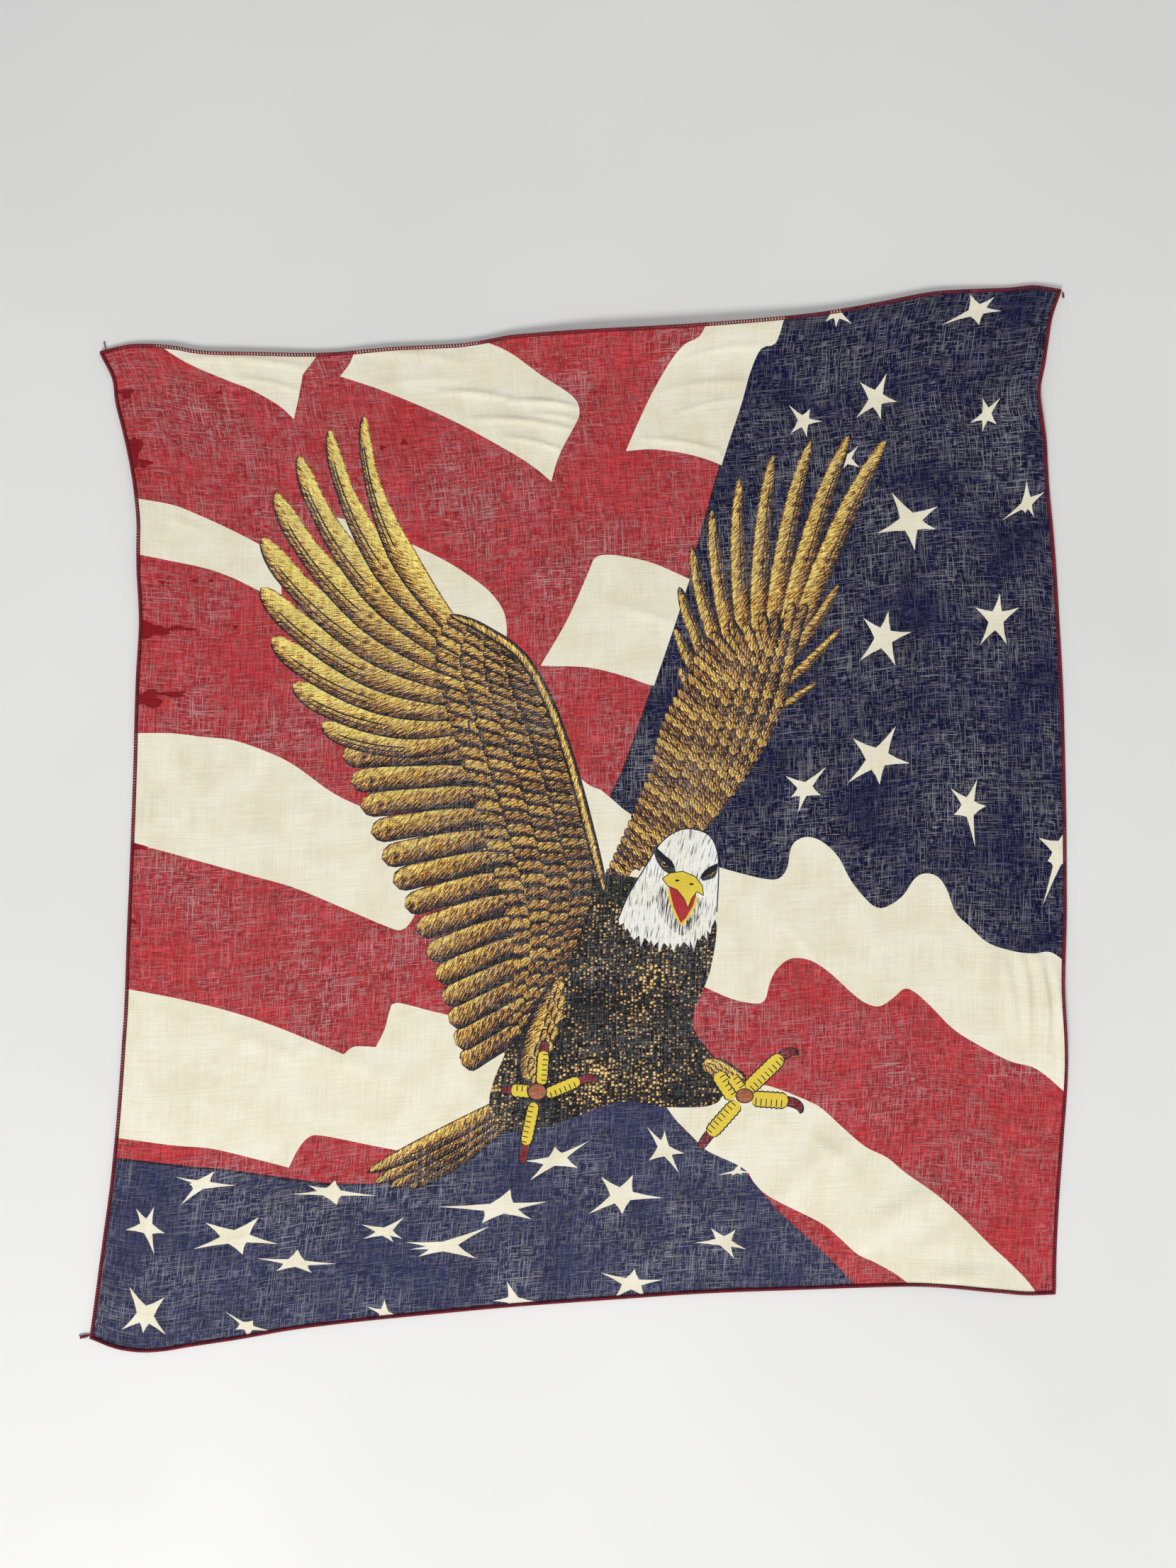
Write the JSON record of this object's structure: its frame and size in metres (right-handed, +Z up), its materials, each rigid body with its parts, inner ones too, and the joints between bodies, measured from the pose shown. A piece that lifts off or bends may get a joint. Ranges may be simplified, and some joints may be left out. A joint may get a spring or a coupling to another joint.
{
  "type": "bandana",
  "caption": "Square printed cotton bandana laid out flat, face down, with an overlocked rolled edge and thread tails at the corners",
  "frame": {"origin": "middle of the laid-out cloth's outer box, on the surface that it lies on", "axes": "+Z up, away from the surface; +X to the right and +Y to the back edge as the print is seen upright, so the eagle's feet are towards -Y; the back of the print faces +Z"},
  "size_m": [0.5574, 0.6012, 0.0016],
  "materials": {
    "printed_cotton": "matt printed cotton",
    "looper_thread": "soft polyester thread",
    "needle_thread": "soft polyester thread",
    "thread_tail": "soft polyester thread"
  },
  "bodies": {
    "root": {"cotton_panel": "printed_cotton", "overlock_thread_front": "looper_thread", "needle_thread_front": "needle_thread", "overlock_thread_right": "looper_thread", "needle_thread_right": "needle_thread", "overlock_thread_back": "looper_thread", "needle_thread_back": "needle_thread", "overlock_thread_left": "looper_thread", "needle_thread_left": "needle_thread", "thread_tail_front_left": "thread_tail", "thread_tail_back_left": "thread_tail", "thread_tail_back_right": "thread_tail"}
  },
  "joints": []
}
